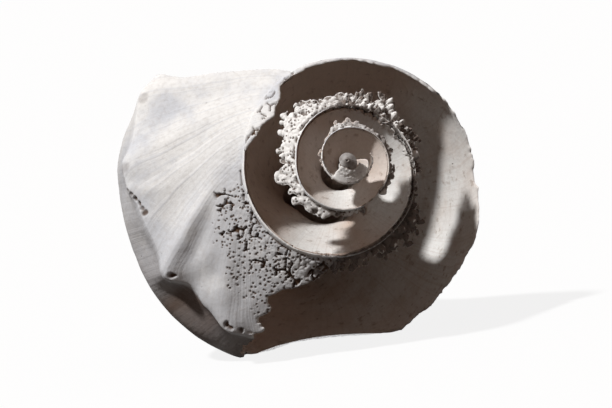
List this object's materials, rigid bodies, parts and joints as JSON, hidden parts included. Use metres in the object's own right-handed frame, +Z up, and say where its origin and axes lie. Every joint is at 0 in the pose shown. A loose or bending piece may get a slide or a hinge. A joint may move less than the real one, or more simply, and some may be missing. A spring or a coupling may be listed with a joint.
{
  "type": "worn knobbed whelk shell",
  "caption": "Beach-worn spiral sea snail shell with low shoulder knobs, an open broken spire, a wide aperture and a long siphonal canal.",
  "frame": {"origin": "centre of the bounding box's base, on the surface the shell lies on", "axes": "+Z up, the aperture facing up; -Y towards the spire's apex, +Y towards the tip of the siphonal canal; +X to the right seen from the apex"},
  "size_m": [0.0988, 0.146, 0.0804],
  "materials": {
    "shell": "matt, chalky and pitted"
  },
  "bodies": {
    "root": {"shell": "shell"}
  },
  "joints": []
}
